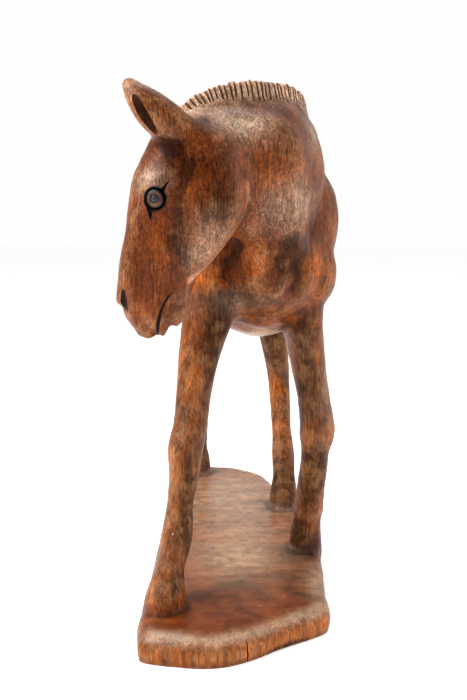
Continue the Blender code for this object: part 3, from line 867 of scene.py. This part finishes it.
def wood_material():
    """Oiled tropical hardwood, upright in grain, stained in its hollows and rubbed on what stands out, with
    painted shade, painted highlights and painted light over it.
    """
    n = Nodes("carved_wood")
    fibre = n.noise(n.scaled(1, 1, 0.05), 1300.0, 4.0, 0.65)
    mottle = n.noise(n.scaled(1, 1, 0.8, 9.0), 210.0, 3.0, 0.6)
    pore = wood_pores(n)
    colour = stain_wear_and_painted_light(n, heartwood(n), mottle)
    colour = toned(n, colour, fibre)
    colour = n.mix(n.times(pore, 0.7), colour, rgb(30, 17, 11))
    speck = n.span(n.spots(n.scaled(1, 1, 1, 6.0), 75.0), 0.036, 0.020)
    colour = n.mix(n.times(speck, 0.7), colour, rgb(220, 205, 190))
    # Black round the eyes, and painted shade in a faint line round the foot of each hoof
    colour = n.mix(n.mask("ink_and_shade"), colour, rgb(10, 6, 5))
    dull = n.times(n.span(n.mask("hollow"), 0.12, 0.9), 0.4)
    rough = n.span(n.math("ADD", mottle, dull), 0.3, 0.9, 0.34, 0.6)
    rough = n.math("SUBTRACT", rough, n.times(n.mask("sheen"), 0.14))
    normal = n.bump(fibre, 0.3, 0.0003)
    normal = n.bump(n.math("SUBTRACT", 1.0, pore), 0.45, 0.00025, normal)
    normal = n.bump(mottle, 0.2, 0.0004, normal)
    gloss = n.span(n.mask("sheen"), 0.0, 1.0, 0.16, 0.55)
    gloss = n.times(gloss, n.span(n.mask("stain_and_shade"), 0.0, 1.0, 1.0, 0.35))
    return n.finish(Base_Color=colour, Roughness=rough, Normal=normal, IOR=1.5, Specular_IOR_Level=gloss)


def cut_material(name, dark, light):
    """The inside of a cut: end grain between a dark and a light tone, with dust."""
    n = Nodes(name)
    fibre = n.noise(n.scaled(1, 1, 0.1), 900.0, 3.0)
    dust = n.noise(n.scaled(1, 1, 1, 2.0), 260.0, 2.0)
    colour = n.mix(n.span(fibre, 0.3, 0.7), dark, light)
    colour = n.mix(n.span(dust, 0.62, 0.8, 0.0, 0.4), colour, rgb(112, 74, 48))
    normal = n.bump(fibre, 0.4, 0.0003)
    return n.finish(Base_Color=colour, Roughness=n.span(dust, 0.2, 0.8, 0.55, 0.8), Normal=normal)


def eye_material(centre):
    """The eye plug: turned wood, polished, black at its rim."""
    n = Nodes("eye_wood")
    apart = n.node("ShaderNodeVectorMath", {0: n.position, 1: Vector(centre) * MM}, operation="DISTANCE")
    away = apart.outputs["Value"]
    fibre = n.noise(n.scaled(1, 1, 0.12), 900.0, 3.0)
    cloud = n.noise(n.scaled(1, 1, 1, 5.0), 420.0, 3.0)
    colour = n.mix(n.span(fibre, 0.3, 0.7), rgb(98, 64, 46), rgb(60, 38, 28))
    colour = n.mix(n.span(cloud, 0.48, 0.68, 0.0, 0.8), colour, rgb(128, 84, 52))
    colour = n.mix(n.span(away, 0.00275, 0.0031), colour, rgb(12, 8, 7))
    normal = n.bump(fibre, 0.2, 0.0002)
    rough = n.span(cloud, 0.3, 0.7, 0.3, 0.45)
    return n.finish(Base_Color=colour, Roughness=rough, Normal=normal, Specular_IOR_Level=0.35)


def pupil_material():
    """The pupil: polished and blue-grey."""
    n = Nodes("pupil_horn")
    cloud = n.noise(n.scaled(1, 1, 0.5), 900.0, 3.0)
    colour = n.mix(n.span(cloud, 0.35, 0.65), rgb(58, 68, 74), rgb(34, 40, 45))
    normal = n.bump(cloud, 0.1, 0.0001)
    rough = n.span(cloud, 0.3, 0.7, 0.2, 0.34)
    return n.finish(Base_Color=colour, Roughness=rough, Normal=normal, Specular_IOR_Level=0.4)


def floor_material():
    n = Nodes("pale_floor")
    cloud = n.noise(n.scaled(1, 1, 1), 3.0, 2.0)
    colour = n.mix(cloud, (0.84, 0.84, 0.84, 1), (0.86, 0.86, 0.86, 1))
    return n.finish(Base_Color=colour, Roughness=0.6, Emission_Color=(1, 1, 1, 1), Emission_Strength=0.6)


# Where the stain is darkest, with painted shade in recesses and on shaded sides; where it is rubbed pale,
# with painted highlights and reflections; and where the wood is orange, with painted light on lit sides:
# (x, y, z) centre, radii and strength
STAIN_AND_SHADE = [
    ((-23, -97, 202), (8, 8, 6), 0.9), ((-14, -99, 192), (12, 8, 8), 0.35),
    ((-7, -99, 178), (11, 8, 9), 0.8), ((-23, -100, 167), (8, 6, 14), 0.6),
    ((-1, -63, 157), (5, 8, 8), 0.3), ((23, -65, 160), (9, 9, 13), 1.2),
    ((4, -62, 139), (18, 12, 8), 0.6), ((-6, -60, 130), (8, 9, 12), 1.1),
    ((34, -42, 126), (11, 9, 10), 0.5), ((22, 55, 100), (12, 14, 30), 0.9),
    ((39, -36, 60), (8, 10, 14), 0.95), ((38, -32, 44), (8, 9, 12), 0.6),
    ((33, -25, 16), (11, 13, 11), 1.6), ((28, 41, 19), (16, 16, 18), 1.4),
    ((-7, -60, 117), (6, 12, 17), 1.3), ((-18.5, -78, 52), (4, 9, 22), 1.2),
    ((-27, -82, 25), (10, 10, 4), 0.8), ((2.5, -83, 209.5), (6, 6, 3), 0.6),
    ((-21, 99, 22), (12, 14, 18), 1.4), ((-26, -86, 209), (10, 8, 8), 0.4),
    ((27, -62, 12), (16, 16, 3), 0.6), ((-30, -72, 12), (8, 16, 3), 0.5),
    ((31, -41, 106), (4.5, 9, 24), 1.1), ((34, -33, 48), (4, 9, 12), 0.9),
]
WEAR_AND_HIGHLIGHT = [
    ((-32, -97, 189), (8, 8, 6), 0.62), ((2, -82, 211), (17, 10, 9), 1.0),
    ((22, -70, 181), (19, 14, 12), 0.65), ((-38, -96, 222), (5, 5, 6), 0.6),
    ((-9, -98, 164), (10, 8, 14), 0.5), ((2, -58, 139), (22, 12, 7), 0.22),
    ((4, -30, 12.5), (30, 40, 4), 0.9), ((0, 55, 12.5), (44, 70, 4), 0.85),
    ((-33, -90, 60), (6, 14, 40), 0.2), ((6, -15, 119), (24, 40, 7), 0.4),
    ((14, -30, 121), (10, 14, 5), 0.75), ((38, -60, 12), (8, 20, 4), 0.8),
    ((32, -54, 209), (7, 12, 14), 0.55), ((43.5, -35, 100), (4.5, 12, 30), 0.4),
    ((-27, -77, 70), (4, 12, 22), 0.1),
]
ORANGE_AND_LIT = [
    ((9.5, -67, 160), (5.5, 8, 13), 1.0), ((-13, -58, 149), (9, 9, 8), 1.0),
    ((38, -53, 151), (8, 12, 12), 1.0), ((-27, -98, 160), (12, 8, 14), 0.15),
    ((13, -74, 192), (16, 12, 10), 0.65), ((27, 55, 70), (9, 30, 26), 0.8),
    ((-29, -84, 18), (11, 11, 9), 0.9), ((-22, -76, 68), (9, 10, 9), 0.7),
    ((39, -34, 75), (9, 9, 8), 0.9), ((0, -108, 5), (50, 10, 5), 0.9),
    ((34, -85, 5), (16, 16, 5), 1.0), ((-31, -97, 184), (8, 8, 6), 0.3),
    ((0, -10, 12.5), (40, 8, 3), 0.6), ((-34, -97, 141), (9, 8, 9), 0.22),
    ((33, -42, 112), (9, 12, 24), 0.7), ((-21, -62, 108), (7, 10, 26), 0.9),
    ((18, -98, 5), (22, 12, 5), 0.8), ((34, -54, 196), (8, 12, 10), 0.45),
    ((23, 61, 64), (6, 12, 26), 0.7),
]
SHEEN = [
    ((0, 40, 12.5), (44, 100, 4), 1.0), ((0, -82, 213), (16, 10, 8), 0.8),
    ((-32, -97, 189), (8, 8, 6), 0.5), ((5, 0, 116), (40, 60, 10), 0.8),
]


# The base's front edge, seen from above: worn, with a painted highlight along its top and a painted contact
# shadow along its foot
RIM = [(-33, -106), (-20, -109), (-6, -109.5), (6, -104.5), (18.5, -96), (33, -86.5), (38, -80)]


# The near jaw's edge, where a painted highlight runs along it
JAW_EDGE = [
    (5, -88.7, 188), (5.4, -85, 182), (4, -83.5, 176.5), (0, -84, 170), (-4.3, -88.7, 164),
    (-11, -90.5, 156.5), (-16.6, -95, 152),
]


# The faint ring of painted shade where each hoof meets the base, in the order of HOOVES: half widths along x
# and y
HOOF_RINGS = [(9.9, 10.8), (8.9, 9.8), (8.8, 9.6), (8.6, 9.6)]
HOOF_RING_HEIGHT = 12.4
EYE_RING_RADIUS = 4.75


def rim_at(height):
    return [(x, y, height) for x, y in RIM]


def ink_and_shade_share(skin):
    """The black round the eyes, and a faint line of painted shade round each hoof where it meets the base."""
    ink_and_shade = np.zeros(skin.count)
    for point, direction in EYES:
        axis = np.array(Vector(direction).normalized())
        away = skin.co - np.array(point)
        depth = away @ axis
        radius = np.sqrt(np.maximum((away**2).sum(axis=1) - depth**2, 0))
        ink_and_shade = np.maximum(ink_and_shade, np.clip((EYE_RING_RADIUS - radius) / 0.3, 0, 1) * (np.abs(depth) < 6))
    for (x, y), (wide, deep) in zip(HOOVES, HOOF_RINGS):
        turns = [2 * math.pi * k / 24 for k in range(25)]
        line = [(x + wide * math.cos(a), y + deep * math.sin(a), HOOF_RING_HEIGHT) for a in turns]
        ink_and_shade = np.maximum(ink_and_shade, skin.along_path(line, 0.6) * 0.5)
    return ink_and_shade


def paint_masks(obj):
    """Stores what the wood material reads: where it is stained and painted in shade, worn and painted with
    highlights, orange and painted lit, glossy, flat or barred.
    """
    skin = Skin(obj.data)
    height = skin.co[:, 2]
    crest = mane_crest()

    def spots(table, most=1.0):
        return np.clip(sum(skin.near(c, r) * s for c, r, s in table), 0, most)

    # Stain and painted shade, and a painted contact shadow along the foot of the base's front
    stain_and_shade = np.maximum(spots(STAIN_AND_SHADE, 1.6), skin.along_path(rim_at(0.0), 2.2))
    # Wear and painted highlights: along the mane's crest, the base's top front edge and the jaw's edge
    wear_and_highlight = np.maximum(spots(WEAR_AND_HIGHLIGHT), skin.along_path(crest, 8.0))
    wear_and_highlight = np.maximum(wear_and_highlight, skin.along_path(rim_at(11.5), 3.0))
    wear_and_highlight = np.maximum(wear_and_highlight, skin.along_path(JAW_EDGE, 1.5) * 0.55)
    # Orange wood and painted light, with a painted highlight along the jaw's edge
    orange_and_lit = np.maximum(spots(ORANGE_AND_LIT), skin.along_path(JAW_EDGE, 2.5) * 0.8)
    sheen = np.maximum(spots(SHEEN), skin.along_path(rim_at(11), 3.0))
    flat = np.clip((skin.normals()[:, 2] - 0.75) / 0.15, 0, 1) * np.clip((14.0 - height) / 1.5, 0, 1)
    legs = np.clip((height - 15) / 6, 0, 1) * np.clip((140 - height) / 30, 0, 1)
    masks = {
        "stain_and_shade": stain_and_shade,
        "wear_and_highlight": wear_and_highlight,
        "orange_and_lit": orange_and_lit,
        "sheen": sheen,
        "flat": flat,
        "bars": (0.2 + 0.6 * legs + 0.2 * (height < 15)) * (1 - 0.8 * flat),
        "teeth": skin.along_path(crest, 6.5),
        "coarse": np.clip((height - 120) / 40, 0.25, 1),
        "ink_and_shade": ink_and_shade_share(skin),
    }
    for name, values in masks.items():
        store_mask(obj, name, values)


# ---------------------------------------------------------------- the scene

def build_foal():
    foal = build_skin()
    foal.data.materials.clear()
    for material in (
        wood_material(),
        # Near-black: the blackened grooves round the eyes, and painted shade inside the mouth, the nostrils
        # and the drying check
        cut_material("dark_cut", rgb(16, 10, 8), rgb(48, 28, 18)),
        cut_material("mane_cut", rgb(112, 70, 48), rgb(158, 106, 74)),
        cut_material("ear_cut", rgb(50, 30, 20), rgb(112, 72, 48)),
    ):
        foal.data.materials.append(material)
    cut(foal, "kerfs", add_kerfs, MANE_CUT)
    cut(foal, "eye_seats", add_eye_seats, DARK_CUT)
    cut(foal, "eye_corners", add_eye_corners, DARK_CUT)
    cut(foal, "mouth", add_mouth, DARK_CUT)
    cut(foal, "nostrils", add_nostrils, DARK_CUT)
    cut(foal, "ears", add_ear_hollows, EAR_CUT)
    cut(foal, "check", add_check, DARK_CUT)
    paint_masks(foal)
    foal.data.polygons.foreach_set("use_smooth", [True] * len(foal.data.polygons))
    foal.data.set_sharp_from_angle(angle=math.radians(38))
    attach(foal, "root")
    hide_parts("carving")
    return foal


def dress_cad(prefix, made):
    """Gives a material to the CAD pieces whose names start with the prefix."""
    for name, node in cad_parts.items():
        if name.startswith(prefix):
            for slot in node.material_slots:
                slot.material = made
            if not node.material_slots:
                node.data.materials.append(made)


def add_light(name, place, target, size, power):
    data = bpy.data.lights.new(name, "AREA")
    data.shape = "RECTANGLE"
    data.size, data.size_y = size
    data.energy = power
    lamp = bpy.data.objects.new(name, data)
    bpy.context.scene.collection.objects.link(lamp)
    lamp.location = place
    lamp.rotation_mode = "QUATERNION"
    lamp.rotation_quaternion = (Vector(target) - Vector(place)).to_track_quat("-Z", "Y")


def studio_world():
    """White behind the object and darker on the camera's side, as before a lit backdrop. It shows white."""
    world = bpy.data.worlds.new("studio")
    world.use_nodes = True
    tree = world.node_tree
    light = tree.nodes["Background"]
    where = tree.nodes.new("ShaderNodeTexCoord")
    parts = tree.nodes.new("ShaderNodeSeparateXYZ")
    span = tree.nodes.new("ShaderNodeMapRange")
    span.interpolation_type = "SMOOTHSTEP"
    for key, value in (("From Min", -0.5), ("From Max", 0.7), ("To Min", 0.10), ("To Max", 0.72)):
        span.inputs[key].default_value = value
    tree.links.new(where.outputs["Generated"], parts.inputs[0])
    tree.links.new(parts.outputs["Y"], span.inputs["Value"])
    tree.links.new(span.outputs[0], light.inputs["Strength"])
    light.inputs["Color"].default_value = (1.0, 1.0, 1.0, 1.0)
    shown = tree.nodes.new("ShaderNodeBackground")
    shown.inputs["Color"].default_value = (0.992, 0.992, 0.992, 1.0)
    path = tree.nodes.new("ShaderNodeLightPath")
    pick = tree.nodes.new("ShaderNodeMixShader")
    tree.links.new(path.outputs["Is Camera Ray"], pick.inputs[0])
    tree.links.new(light.outputs[0], pick.inputs[1])
    tree.links.new(shown.outputs[0], pick.inputs[2])
    tree.links.new(pick.outputs[0], tree.nodes["World Output"].inputs["Surface"])
    return world


# Name, place, target, size in metres and power in watts
LIGHTS = [
    ("key", (-0.68, -0.42, 0.64), (0, -0.05, 0.12), (0.45, 0.45), 6.5),
    ("top", (-0.1, 0.25, 0.95), (0, 0, 0.1), (0.8, 0.8), 6.5),
    ("side", (0.8, 0.0, 0.35), (0, 0, 0.12), (0.3, 0.6), 1.7),
]
CAMERA_PLACE = (0.0, -0.42, 0.182)
CAMERA_DIP = 10  # degrees below level
CAMERA_LENS = 43.71  # with the sensor's width, in millimetres
CAMERA_SENSOR = 36.0
FLOOR_HALF = 3.0


def build_studio():
    """A pale floor, the world, three soft lights and the camera."""
    scene = bpy.context.scene
    bm = bmesh.new()
    bmesh.ops.create_grid(bm, x_segments=4, y_segments=4, size=FLOOR_HALF)
    mesh = bpy.data.meshes.new("floor")
    bm.to_mesh(mesh)
    bm.free()
    floor = bpy.data.objects.new("floor", mesh)
    scene.collection.objects.link(floor)
    floor.data.materials.append(floor_material())
    scene.world = studio_world()
    for light in LIGHTS:
        add_light(*light)
    camera_data = bpy.data.cameras.new("camera")
    camera_data.lens = CAMERA_LENS
    camera_data.sensor_width = CAMERA_SENSOR
    camera = bpy.data.objects.new("camera", camera_data)
    scene.collection.objects.link(camera)
    camera.location = CAMERA_PLACE
    camera.rotation_euler = (math.radians(90 - CAMERA_DIP), 0, 0)
    scene.camera = camera
    scene.view_settings.view_transform = "Standard"
    scene.view_settings.look = "None"


foal = build_foal()
dress_cad("eye_left", eye_material(EYES[0][0]))
dress_cad("eye_right", eye_material(EYES[1][0]))
dress_cad("pupil", pupil_material())
build_studio()
